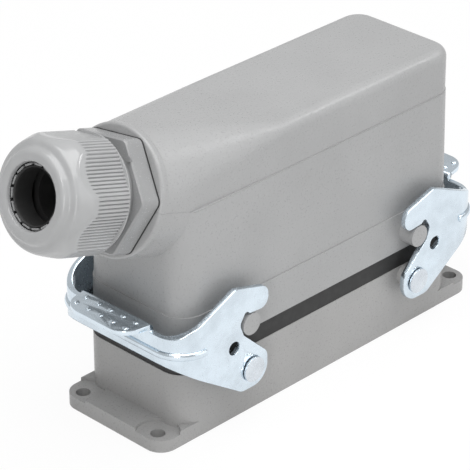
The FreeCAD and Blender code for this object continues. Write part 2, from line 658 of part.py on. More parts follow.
round_edges(gland, "hex_edges", nut_hex, on_hex_rim, cell("hex_chamfer"), "Chamfer")
s = new_sketch(gland, "gland_neck_outline", level=hex_end - 0.5)
draw_circle(s, 0, 0, cell("gland_neck_r"))
pad(gland, "gland_neck", s, cell("gland_neck_end") - hex_end + 0.5)
s = new_sketch(gland, "pip_outline", level=hex_end)
draw_circle(s, cell("hex_pip_x"), cell("hex_pip_y"), cell("hex_pip_r"))
pad(gland, "hex_pip", s, cell("hex_pip_high"))
s = new_sketch(gland, "cable_path", level=-cell("gland_thread_len"))
draw_circle(s, 0, 0, cell("cable_r"))
pocket(gland, "cable_bore", s, None, back=True)
s = new_sketch(gland, "cup_outline", level=cell("cup_start"))
draw_circle(s, 0, 0, cell("cup_r"))
pocket(gland, "seal_cup", s, cell("gland_neck_end"), back=True)
on_gland_axis(gland, "Placement", 0)


def tube(name, outer, inner, start, end):
    """A plain ring on the gland axis, cut from two bound cylinders."""
    pair = []
    for tag, r in (("outer", outer), ("inner", inner)):
        cyl = doc.addObject("Part::Cylinder", f"{name}_{tag}")
        bind(cyl, "Radius", r)
        bind(cyl, "Height", end - start)
        on_gland_axis(cyl, "Placement", start)
        pair.append(cyl)
    cut = doc.addObject("Part::Cut", name)
    cut.Base, cut.Tool = pair
    return cut


gland_ring = tube("gland_ring", cell("entry_r") + cell("ring_wide"), cell("entry_r"),
                  Size.of(0), ring)
gland_seal = tube("gland_seal", cell("cup_r") - cell("seal_wall"), cell("seal_r"),
                  cell("cup_start") + cell("fit_gap"), cell("gland_neck_end") - cell("seal_in"))

# Clamping claws: a collar whose slotted fingers close round the cable
claw = new_body("gland_claws")
s = new_sketch(claw, "claw_profile", "XZ_Plane")
claw_back, claw_neck = cell("nut_start") + cell("claw_in"), cell("gland_neck_end") + cell("claw_in")
claw_tip = cell("nut_end") - cell("claw_in")
out_r = cell("cup_r") - cell("claw_fit")
in_r = out_r - cell("claw_wall")
tip_r = cell("cable_r") - cell("claw_tip_in")
draw_polygon(s, [(in_r, claw_back), (out_r, claw_back), (out_r, claw_neck),
                 (tip_r, claw_tip), (tip_r - cell("claw_tip_wide"), claw_tip - cell("claw_step")),
                 (in_r, claw_neck - cell("claw_step"))])
turned = claw.newObject("PartDesign::Revolution", "claw_collar")
turned.Profile = s
turned.ReferenceAxis = (s, ["V_Axis"])
turned.Angle = 360
s.Visibility = False
s = new_sketch(claw, "claw_slot", level=cell("gland_neck_end") - cell("claw_slot_start"))
half_slot = cell("claw_slot_wide") / 2
draw_polygon(s, [(cell("cable_r") - 4, -half_slot), (cell("cup_r") + 2, -half_slot),
                 (cell("cup_r") + 2, half_slot), (cell("cable_r") - 4, half_slot)])
slot = pocket(claw, "slot", s, cell("nut_len"), back=True)
fan = claw.newObject("PartDesign::PolarPattern", "claw_slots")
fan.Originals = [slot]
fan.Axis = (plane_of(claw, "Z_Axis"), [""])
fan.Angle = 360
fan.Occurrences = int(num(cell("claw_slots")))
claw.Tip = fan
on_gland_axis(claw, "Placement", 0)


# Cap nut: rounded hexagon with a domed front and fine ribs that fade in arches.
# Each step of the dome is a share of the way from the lip to the corners and
# its depth behind the mouth.
NUT_DOME = [(1.0, 5.6), (0.889, 4.2), (0.706, 3.2), (0.654, 2.4), (0.536, 1.5), (0.405, 0.9),
            (0.275, 0.45), (0.065, 0.05)]


def cap_nut():
    start, end = num(cell("nut_start")), num(cell("nut_end"))
    flat, round_r = num(cell("gland_flats")) / 2, num(cell("nut_round_r"))
    bore, mouth = num(cell("nut_bore_r")), num(cell("nut_mouth_r"))
    rib_end, arch = start + num(cell("rib_len")), num(cell("rib_arch"))
    deep, ribs = num(cell("rib_deep")), int(num(cell("rib_count")))
    chamfer, claw_room = num(cell("nut_chamfer")), num(cell("claw_room"))

    def turned_solid(profile):
        wire = Part.makePolygon([V(r, 0, z) for r, z in profile + profile[:1]])
        return Part.Face(wire).revolve(V(0, 0, 0), V(0, 0, 1), 360)

    def hex_radius(angle):
        inside = (angle - HEX_TURN) % (math.pi / 3) - math.pi / 6
        return min(flat / math.cos(inside), round_r)

    tip = flat / math.cos(math.pi / 6)
    corners = [V(tip * math.cos(HEX_TURN + i * math.pi / 3),
                 tip * math.sin(HEX_TURN + i * math.pi / 3), start + chamfer) for i in range(7)]
    block = Part.Face(Part.makePolygon(corners)).extrude(V(0, 0, end - start - chamfer))
    # the dome steps in from the corners' radius to the lip round the mouth
    lip = mouth + chamfer
    dome = [(lip + (round_r - lip) * share, end - drop) for share, drop in NUT_DOME]
    block = block.common(turned_solid([(0, start), (round_r, start)] + dome + [(lip, end), (0, end)]))
    # the arches: smooth hexagon only outside this cone
    cone_r = bore - chamfer
    fade = [(cone_r, start), (round_r + 1, start), (round_r + 1, rib_end - arch),
            (cone_r, rib_end + (round_r - cone_r) * arch)]
    smooth = block.cut(turned_solid(fade))
    zigzag = []
    for i in range(ribs * 2 + 1):
        a = HEX_TURN + (i % (ribs * 2)) * math.pi / ribs
        r = hex_radius(a) - (deep if i % 2 else 0.0)
        zigzag.append(V(r * math.cos(a), r * math.sin(a), start + chamfer))
    rib_reach = rib_end - start + (round_r - flat + deep) * arch
    ribbed = Part.Face(Part.makePolygon(zigzag)).extrude(V(0, 0, rib_reach))
    # the wall behind the ribs, as far as the smooth hexagon reaches inward
    core_r = flat - num(cell("rib_core_in"))
    core = Part.makeCylinder(core_r, rib_end - start + (round_r - cone_r) * arch, V(0, 0, start))
    skirt_r = round_r - num(cell("nut_skirt_in"))
    skirt = Part.makeCylinder(skirt_r, num(cell("nut_skirt_len")), V(0, 0, start))
    deep_end = start + num(cell("nut_bore_len"))
    hollow = turned_solid([(0, start - 1), (bore, start - 1), (bore, deep_end),
                           (bore - claw_room, deep_end + chamfer), (mouth, end - chamfer * 3),
                           (mouth, end - chamfer * 2), (mouth + chamfer, end), (0, end)])
    return smooth.fuse([ribbed, core, skirt]).cut(hollow).removeSplitter()


nut = doc.addObject("Part::Feature", "gland_cap_nut")
nut.Shape = cap_nut()
on_gland_axis(nut, "Placement", 0)

# Contact inserts: two rows of contacts, terminal screws outside the rows


def insert(name, low, high, shelf, up, hole_r):
    """An insulating block on its mounting flange; up is +1 for the base side."""
    body = new_body(name)
    sk = new_sketch(body, f"{name}_block_line", level=low)
    draw_rounded_box(sk, cell("block_half_len"), cell("block_half_wid"), cell("block_corner"))
    pad(body, f"{name}_block", sk, high - low)
    sk = new_sketch(body, f"{name}_flange_line", level=shelf)
    draw_rounded_box(sk, cell("insert_half_len"), cell("insert_half_wid"),
                     cell("inner_corner") - cell("insert_gap_wid"))
    pad(body, f"{name}_flange", sk, cell("insert_flange"), back=up < 0)
    sk = new_sketch(body, f"{name}_fixing_line", level=shelf)
    for sx in (-1, 1):
        for sy in (-1, 1):
            draw_regular(sk, cell("fixing_x") * sx, cell("fixing_y") * sy,
                         cell("fixing_r") + cell("fit_gap") * 2, 8)
    pocket(body, f"{name}_fixings", sk, cell("insert_flange"), back=up > 0)
    sk = new_sketch(body, f"{name}_contact_line", level=low)
    for side in (-1, 1):
        draw_regular(sk, -cell("row_half"), cell("contact_row") * side, hole_r, 6)
    holes = pocket(body, f"{name}_contact_hole", sk, None, back=True)
    sk = new_sketch(body, f"{name}_screw_line", level=low if up > 0 else high)
    for side in (-1, 1):
        draw_regular(sk, -cell("row_half"), cell("screw_row") * side,
                     cell("terminal_r") + cell("fit_gap"), 6)
    depth = cell("terminal_len") + cell("terminal_sink") * 2
    screws = pocket(body, f"{name}_screw_hole", sk, depth, back=up > 0)
    rows = body.newObject("PartDesign::LinearPattern", f"{name}_rows")
    rows.Originals = [holes, screws]
    rows.Direction = (plane_of(body, "X_Axis"), [""])
    rows.Length = num(cell("row_half")) * 2
    bind(rows, "Length", cell("row_half") * 2)
    rows.Occurrences = CONTACTS
    body.Tip = rows
    return body


female_low = cell("insert_low")
mate = cell("mate_level")
socket_insert = insert("socket_insert", female_low, mate, cell("base_shelf"), 1,
                       cell("socket_r") + cell("fit_gap"))
pin_insert = insert("pin_insert", mate + cell("mate_gap"), cell("block_end"), cell("hood_shelf"), -1,
                    cell("pin_r") + cell("fit_gap"))


def rod(name, r, start, end, sides=6):
    """A bar with flats along Z between two levels."""
    bar = doc.addObject("Part::Prism", name)
    bar.Polygon = sides
    bind(bar, "Circumradius", r)
    bind(bar, "Height", end - start)
    bind(bar, "Placement.Base.z", start)
    return bar


def copies(name, source, places):
    """One node of equal pieces: the bound source repeated at the places."""
    doc.recompute()
    group = doc.addObject("Part::Feature", name)
    group.Shape = Part.makeCompound([source.Shape.translated(V(x, y, 0)) for x, y in places])
    return group


def row_places(row):
    pitch = num(cell("contact_pitch"))
    first = -num(cell("row_half"))
    return [(first + i * pitch, side * num(row)) for side in (-1, 1) for i in range(CONTACTS)]


fixing_places = [(sx * num(cell("fixing_x")), sy * num(cell("fixing_y")))
                 for sx in (-1, 1) for sy in (-1, 1)]

socket = doc.addObject("Part::Cut", "one_socket")
socket.Base = rod("socket_barrel", cell("socket_r"), female_low + cell("socket_foot"),
                  mate - cell("terminal_sink"))
socket.Tool = rod("socket_bore", cell("socket_bore_r"), female_low + cell("socket_bore_foot"), mate)
sockets = copies("socket_contacts", socket, row_places(cell("contact_row")))
pin = rod("one_pin", cell("pin_r"), mate - cell("pin_reach"), cell("block_end") - cell("pin_back"))
pins = copies("pin_contacts", pin, row_places(cell("contact_row")))
sink = cell("terminal_sink")
lower_screw = rod("one_lower_terminal", cell("terminal_r"), female_low + sink,
                  female_low + sink + cell("terminal_len"))
base_terminals = copies("base_terminal_screws", lower_screw, row_places(cell("screw_row")))
upper_screw = rod("one_upper_terminal", cell("terminal_r"),
                  cell("block_end") - sink - cell("terminal_len"), cell("block_end") - sink)
hood_terminals = copies("hood_terminal_screws", upper_screw, row_places(cell("screw_row")))


def fixing_screw(name, seat, up):
    """Hexagon head screw through the insert flange; up is +1 with the head on top."""
    grip = cell("insert_flange") + cell("plate_thick") + cell("fixing_bite")
    head = cell("fixing_head")
    if up > 0:
        ends = (seat - grip, seat, seat, seat + head)
    else:
        ends = (seat, seat + grip, seat - head, seat)
    screw = doc.addObject("Part::Fuse", name)
    screw.Base = rod(f"{name}_shank", cell("fixing_r"), ends[0], ends[1], 8)
    screw.Tool = rod(f"{name}_head", cell("fixing_head_r"), ends[2], ends[3])
    return screw


plate_low = cell("base_shelf") + cell("insert_flange")
plate_high = cell("hood_shelf") - cell("insert_flange")
low_screws = copies("base_insert_screws",
                    fixing_screw("one_base_fixing", plate_low + cell("plate_thick"), 1), fixing_places)
high_screws = copies("hood_insert_screws",
                     fixing_screw("one_hood_fixing", plate_high - cell("plate_thick"), -1),
                     fixing_places)


def earth_plate(name, level, x_side):
    body = new_body(name)
    sk = new_sketch(body, f"{name}_line", level=level)
    near = cell("block_half_len") + cell("plate_gap")
    far = cell("insert_half_len") - cell("plate_in")
    wide = cell("insert_half_wid") - cell("plate_in")
    draw_polygon(sk, [(near * x_side, -wide), (far * x_side, -wide), (far * x_side, wide),
                      (near * x_side, wide)])
    for sy in (-1, 1):
        draw_regular(sk, cell("fixing_x") * x_side, cell("fixing_y") * sy,
                     cell("fixing_r") + cell("fit_gap") * 2, 8)
    pad(body, f"{name}_sheet", sk, cell("plate_thick"))
    return body


def earth_pair(name, level):
    pair = doc.addObject("Part::Compound", name)
    pair.Links = [earth_plate(f"{name}_{tag}", level, side) for tag, side in (("a", -1), ("b", 1))]
    return pair


base_earth = earth_pair("base_earth_plates", plate_low)
hood_earth = earth_pair("hood_earth_plates", plate_high - cell("plate_thick"))

doc.recompute()
NODES = [base, seal, rim, hood, rivets, lever_left, lever_right, gland, gland_ring, gland_seal, claw,
         nut, socket_insert, pin_insert, sockets, pins, base_terminals, hood_terminals, low_screws,
         high_screws, base_earth, hood_earth]
for thing in doc.Objects:
    if "Invalid" in thing.State or "Error" in thing.State:
        raise RuntimeError(f"{thing.Name} did not build: {thing.State}")
for node in NODES:
    shape = node.Shape
    if shape.isNull() or not shape.isValid() or shape.Volume <= 0:
        raise RuntimeError(f"{node.Name} has no valid solid")
    shape.exportStep(f"parts/{node.Name}.step")
    print(node.Name, len(shape.Solids), round(shape.Volume), shape.BoundBox)
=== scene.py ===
import logging
import math
from dataclasses import dataclass
from enum import Enum
from typing import Sequence

import bpy
from mathutils import Matrix, Vector


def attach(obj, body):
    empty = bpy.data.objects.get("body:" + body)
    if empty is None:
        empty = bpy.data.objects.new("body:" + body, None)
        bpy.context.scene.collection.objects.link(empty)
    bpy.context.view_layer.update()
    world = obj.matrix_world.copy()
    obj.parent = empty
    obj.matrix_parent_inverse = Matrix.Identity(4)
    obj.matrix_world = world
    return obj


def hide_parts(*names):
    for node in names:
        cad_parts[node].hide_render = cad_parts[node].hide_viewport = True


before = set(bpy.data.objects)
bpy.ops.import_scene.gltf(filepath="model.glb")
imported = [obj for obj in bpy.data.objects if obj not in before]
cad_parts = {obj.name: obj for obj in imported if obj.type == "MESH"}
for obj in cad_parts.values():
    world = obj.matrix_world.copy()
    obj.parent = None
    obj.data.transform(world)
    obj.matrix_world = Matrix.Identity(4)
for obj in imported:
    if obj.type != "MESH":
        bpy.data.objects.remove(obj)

logging.basicConfig(level=logging.INFO, format="%(message)s")
LOG = logging.getLogger("connector")
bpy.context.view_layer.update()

MM_PER_M = 1000.0
MM = 1 / MM_PER_M
HEX_SIDES = 6
SIXTH_TURN = math.tau / HEX_SIDES
NOISE_SPAN = (0.3, 0.7)  # nearly all of a noise's values lie between these

Point = tuple[float, float, float]
Colour = tuple[float, float, float, float]
Profile = tuple[tuple[float, float], ...]


def metres(*sizes: float) -> tuple[float, ...]:
    """Turns millimetres into metres."""
    return tuple(size * MM for size in sizes)


def grey(level: float, warm: float = 0.0) -> Colour:
    """A near-neutral colour.

    Args:
        level: Linear brightness.
        warm: Share moved from blue to red.

    Returns:
        The colour with full alpha.
    """
    return (level * (1 + warm), level, level * (1 - warm), 1.0)


def shade(colour: Colour, share: float) -> Colour:
    """A darker tone of a colour, with full alpha."""
    red, green, blue = (part * share for part in colour[:3])
    return (red, green, blue, 1.0)


class Socket:
    """A shader value that adds its own nodes when it is used in arithmetic."""

    def __init__(self, graph: "Graph", link: bpy.types.NodeSocket) -> None:
        """Wraps one output socket of a node in a graph."""
        self.graph = graph
        self.link = link

    def math(self, operation: str, *others: "Socket | float") -> "Socket":
        """Adds one Math node with this value as its first operand."""
        return self.graph.maths(operation, self, *others)

    def __add__(self, other: "Socket | float") -> "Socket":
        """Sum."""
        return self.math("ADD", other)

    def __sub__(self, other: "Socket | float") -> "Socket":
        """Difference."""
        return self.math("SUBTRACT", other)

    def __rsub__(self, other: float) -> "Socket":
        """Number minus value."""
        return self.graph.maths("SUBTRACT", other, self)

    def __mul__(self, other: "Socket | float") -> "Socket":
        """Product."""
        return self.math("MULTIPLY", other)

    def __abs__(self) -> "Socket":
        """Absolute value."""
        return self.math("ABSOLUTE")

    __radd__ = __add__
    __rmul__ = __mul__

    def ramp(self, low: float, high: float, out_low: float = 0.0,
             out_high: float = 1.0) -> "Socket":
        """Maps a span of the value to another, smoothly and clamped.

        Args:
            low: Start of the span.
            high: End of the span.
            out_low: Result at the start.
            out_high: Result at the end.

        Returns:
            The mapped value.
        """
        return self.graph.node("ShaderNodeMapRange", {"interpolation_type": "SMOOTHSTEP"}, {
            0: self, 1: low, 2: high, 3: out_low, 4: out_high})

    def vary(self, middle: float, shares: tuple[float, float]) -> "Socket":
        """Spreads a noise between two shares of a number."""
        return self.ramp(*NOISE_SPAN, middle * shares[0], middle * shares[1])


class Axis(Enum):
    """The Object coordinates that a pattern follows, by their socket."""

    X = "X"
    Z = "Z"


class Ray(Enum):
    """The kinds of ray that see the studio differently, by their socket."""

    CAMERA = "Is Camera Ray"
    GLOSSY = "Is Glossy Ray"


class Graph:
    """The node tree of a material or of the world."""

    def __init__(self, owner: bpy.types.Material | bpy.types.World,
                 output: str = "ShaderNodeOutputMaterial") -> None:
        """Empties the tree but for its output.

        Args:
            owner: The material or the world.
            output: Type of its output node.
        """
        self.owner = owner
        owner.use_nodes = True
        self.tree = owner.node_tree
        self.tree.nodes.clear()
        self.output = self.tree.nodes.new(output)
        self.made_place: Socket | None = None

    def node(self, kind: str, settings: dict[str, object], values: dict[str | int, object],
             result: str | int = 0) -> Socket:
        """Adds a node, sets it up and links its inputs.

        Args:
            kind: The node's type.
            settings: Attributes that are set first, such as the operation.
            values: Input name or index to a number, colour or Socket.
            result: Name or index of the output that is returned.

        Returns:
            The chosen output.
        """
        made = self.tree.nodes.new(kind)
        for key, value in settings.items():
            setattr(made, key, value)
        for key, value in values.items():
            if isinstance(value, Socket):
                self.tree.links.new(value.link, made.inputs[key])
            else:
                made.inputs[key].default_value = value
        return Socket(self, made.outputs[result])

    def maths(self, operation: str, *operands: Socket | float) -> Socket:
        """Adds one Math node."""
        return self.node("ShaderNodeMath", {"operation": operation}, dict(enumerate(operands)))

    @property
    def place(self) -> Socket:
        """Object coordinates, from one node that is made when it is first needed."""
        if self.made_place is None:
            self.made_place = self.node("ShaderNodeTexCoord", {}, {}, "Object")
        return self.made_place

    def axis(self, axis: Axis) -> Socket:
        """One Object coordinate in millimetres."""
        return self.node("ShaderNodeSeparateXYZ", {}, {0: self.place}, axis.value) * MM_PER_M

    def ray(self, ray: Ray) -> Socket:
        """1 for rays of one kind and 0 for the others."""
        return self.node("ShaderNodeLightPath", {}, {}, ray.value)

    def noise(self, grain_mm: float, detail: float = 2.0, roughness: float = 0.5) -> Socket:
        """Noise on Object coordinates.

        Args:
            grain_mm: Rough size of one blotch in millimetres.
            detail: Octaves.
            roughness: How strong the finer octaves are.

        Returns:
            The noise, about 0 to 1.
        """
        return self.node("ShaderNodeTexNoise", {}, {
            "Vector": self.place, "Scale": MM_PER_M / grain_mm, "Detail": detail,
            "Roughness": roughness})

    def mix(self, factor: Socket | float, first: Colour | Socket,
            second: Colour | Socket) -> Socket:
        """Mixes two colours.

        Args:
            factor: 0 gives the first.
            first: A colour.
            second: A colour.

        Returns:
            The mixed colour.
        """
        # Inputs 6 and 7 and output 2 are the colour sockets of the Mix node.
        return self.node("ShaderNodeMix", {"data_type": "RGBA"}, {
            0: factor, 6: first, 7: second}, 2)

    def bump(self, height: Socket, depth_mm: float, under: Socket | None = None) -> Socket:
        """A bump of a height given from 0 to 1.

        Args:
            height: The height.
            depth_mm: Real depth of the full height.
            under: A normal that this bump is laid on.

        Returns:
            The bent normal.
        """
        values: dict[str | int, object] = {
            "Strength": 1.0, "Distance": depth_mm * MM, "Height": height}
        if under is not None:
            values["Normal"] = under
        return self.node("ShaderNodeBump", {}, values)

    def close(self, shader: Socket) -> None:
        """Links the last shader to the output."""
        self.tree.links.new(shader.link, self.output.inputs["Surface"])

    def surface(self, **values: object) -> bpy.types.Material:
        """Ends the tree in a Principled shader.

        Args:
            values: Shader inputs, with underscores for spaces.

        Returns:
            The finished material.
        """
        self.close(self.node("ShaderNodeBsdfPrincipled", {}, {
            name.replace("_", " "): value for name, value in values.items()}))
        return self.owner


@dataclass(frozen=True)
class CastPaint:
    """Textured paint over a die-casting, with a faint mould parting line."""

    name: str
    level: float
    warm: float = 0.0
    seam: bool = False
    cloud_mm: float = 26.0
    cloud_tones: tuple[float, float] = (0.965, 1.03)
    speck_mm: float = 0.55
    bright_span: tuple[float, float] = (0.56, 0.72)
    bright_tone: float = 1.22
    bright_share: float = 0.09
    dark_span: tuple[float, float] = (0.44, 0.3)
    dark_tone: float = 0.8
    dark_share: float = 0.05
    grain_mm: float = 1.25
    depth_mm: float = 0.12
    rough: tuple[float, float] = (0.27, 0.38)
    seam_end_x: float = -65.9
    seam_end_z: float = 78.4
    seam_slope: float = 0.3153
    seam_level_z: float = 74.4
    seam_foot_mm: float = 0.42
    seam_crest_mm: float = 0.1
    seam_high_mm: float = 0.13
    wear_mm: float = 9.0
    wear_span: tuple[float, float] = (0.25, 0.6)
    worn_share: float = 0.55

    def tone(self, share: float) -> Colour:
        """The paint's colour at a share of its brightness."""
        return grey(self.level * share, self.warm)

    def parting(self, g: Graph) -> Socket:
        """The parting line, which slopes down beside the neck and then runs level.

        Args:
            g: The paint's nodes.

        Returns:
            1 on the line and 0 off it, and less than 1 where the line is worn.
        """
        x, z = g.axis(Axis.X), g.axis(Axis.Z)
        sloped = self.seam_end_z - (x - self.seam_end_x) * self.seam_slope
        off = abs(z - sloped.math("MAXIMUM", self.seam_level_z))
        worn = g.noise(self.wear_mm).ramp(*self.wear_span, self.worn_share, 1.0)
        return off.ramp(self.seam_foot_mm, self.seam_crest_mm) * worn

    def build(self) -> bpy.types.Material:
        """Makes the paint.

        Returns:
            The material.
        """
        g = Graph(bpy.data.materials.new(self.name))
        cloud = g.noise(self.cloud_mm)
        speck = g.noise(self.speck_mm, detail=1.0)
        tone = g.mix(cloud.ramp(*NOISE_SPAN), *map(self.tone, self.cloud_tones))
        bright = speck.ramp(*self.bright_span, 0.0, self.bright_share)
        tone = g.mix(bright, tone, self.tone(self.bright_tone))
        dark = speck.ramp(*self.dark_span, 0.0, self.dark_share)
        tone = g.mix(dark, tone, self.tone(self.dark_tone))
        normal = g.bump(g.noise(self.grain_mm, detail=3.0, roughness=0.55), self.depth_mm)
        if self.seam:
            normal = g.bump(self.parting(g), self.seam_high_mm, normal)
        return g.surface(Base_Color=tone, Roughness=speck.ramp(*NOISE_SPAN, *self.rough),
                         Normal=normal)


@dataclass(frozen=True)
class ZincPlate:
    """Bright bluish zinc plating on pressed sheet."""

    name: str
    colour: Colour = (0.72, 0.81, 0.885, 1.0)
    rough: float = 0.2
    rough_shares: tuple[float, float] = (0.8, 1.4)
    cloud_mm: float = 7.0
    cloud_span: tuple[float, float] = (0.35, 0.7)
    dull_share: float = 0.87
    wave_mm: float = 6.0
    wave_deep_mm: float = 0.05
    fine_mm: float = 0.8
    fine_deep_mm: float = 0.006

    def build(self) -> bpy.types.Material:
        """Makes the plating.

        Returns:
            The material.
        """
        g = Graph(bpy.data.materials.new(self.name))
        cloud = g.noise(self.cloud_mm, detail=3.0)
        fine = g.noise(self.fine_mm, roughness=0.6)
        tone = g.mix(cloud.ramp(*self.cloud_span), self.colour,
                     shade(self.colour, self.dull_share))
        grain = g.bump(fine, self.fine_deep_mm)
        normal = g.bump(g.noise(self.wave_mm, detail=1.0), self.wave_deep_mm, grain)
        return g.surface(Base_Color=tone, Metallic=1.0,
                         Roughness=fine.vary(self.rough, self.rough_shares), Normal=normal)


@dataclass(frozen=True)
class Moulded:
    """Moulded plastic with a faint skin texture."""

    name: str
    level: float
    cool: float = 0.01
    rough: float = 0.24
    rough_shares: tuple[float, float] = (0.9, 1.15)
    cloud_mm: float = 9.0
    cloud_tones: tuple[float, float] = (0.96, 1.03)
    skin_mm: float = 0.5
    depth_mm: float = 0.008

    def build(self) -> bpy.types.Material:
        """Makes the plastic.

        Returns:
            The material.
        """
        g = Graph(bpy.data.materials.new(self.name))
        cloud = g.noise(self.cloud_mm)
        skin = g.noise(self.skin_mm)
        tone = g.mix(cloud.ramp(*NOISE_SPAN), *(
            grey(self.level * share, -self.cool) for share in self.cloud_tones))
        return g.surface(Base_Color=tone, Roughness=skin.vary(self.rough, self.rough_shares),
                         Normal=g.bump(skin, self.depth_mm))


@dataclass(frozen=True)
class Rubber:
    """Black sealing rubber, slightly dusty."""

    name: str
    level: float = 0.035
    rough: float = 0.6
    rough_shares: tuple[float, float] = (0.9, 1.15)
    dust_mm: float = 3.0
    dust_span: tuple[float, float] = (0.5, 0.8)
    dust_share: float = 0.5
    dust_tone: float = 1.8
    depth_mm: float = 0.02

    def build(self) -> bpy.types.Material:
        """Makes the rubber.

        Returns:
            The material.
        """
        g = Graph(bpy.data.materials.new(self.name))
        dust = g.noise(self.dust_mm, detail=4.0, roughness=0.6)
        tone = g.mix(dust.ramp(*self.dust_span, 0.0, self.dust_share), grey(self.level),
                     grey(self.level * self.dust_tone))
        return g.surface(Base_Color=tone, Roughness=dust.vary(self.rough, self.rough_shares),
                         Normal=g.bump(dust, self.depth_mm))


@dataclass(frozen=True)
class PlatedMetal:
    """Small plated metal pieces inside the housings."""

    name: str
    colour: Colour
    rough: float = 0.3
    rough_shares: tuple[float, float] = (0.8, 1.2)
    cloud_mm: float = 1.5
    dark_share: float = 0.85

    def build(self) -> bpy.types.Material:
        """Makes the metal.

        Returns:
            The material.
        """
        g = Graph(bpy.data.materials.new(self.name))
        cloud = g.noise(self.cloud_mm)
        tone = g.mix(cloud.ramp(*NOISE_SPAN), shade(self.colour, self.dark_share), self.colour)
        return g.surface(Base_Color=tone, Metallic=1.0,
                         Roughness=cloud.vary(self.rough, self.rough_shares))


class Side(Enum):
    """The ends of the connector that a lever stands at, with the sign of their X."""

    LEFT = -1
    RIGHT = 1

    @property
    def tag(self) -> str:
        """The side as it stands in the names of nodes and bodies."""
        return self.name.lower()


class Finish(Enum):
    """The finishes of the connector, one for each kind of surface."""

    HOOD = CastPaint("hood_paint", 0.358, -0.006, seam=True)
    BASE = CastPaint("base_paint", 0.34, 0.008)
    ZINC = ZincPlate("lever_zinc")
    RIVET = ZincPlate("rivet_zinc", (0.70, 0.75, 0.80, 1.0), 0.24, wave_deep_mm=0.02)
    GLAND = Moulded("gland_grey", 0.30)
    NUT = Moulded("nut_grey", 0.385, rough=0.17, depth_mm=0.004)
    CLAW = Moulded("claw_grey", 0.27)
    INSERT = Moulded("insert_grey", 0.5, cool=-0.02, rough=0.45)
    GASKET = Rubber("gasket_black", 0.02)
    SEAL = Rubber("seal_black", 0.018)
    CONTACT = PlatedMetal("contact_plate", (0.82, 0.79, 0.70, 1.0))
    SCREW = PlatedMetal("screw_plate", (0.75, 0.75, 0.73, 1.0))

    def material(self) -> bpy.types.Material:
        """Makes the finish's material once and gives it after that."""
        made = bpy.data.materials.get(self.value.name)
        return made if made is not None else self.value.build()


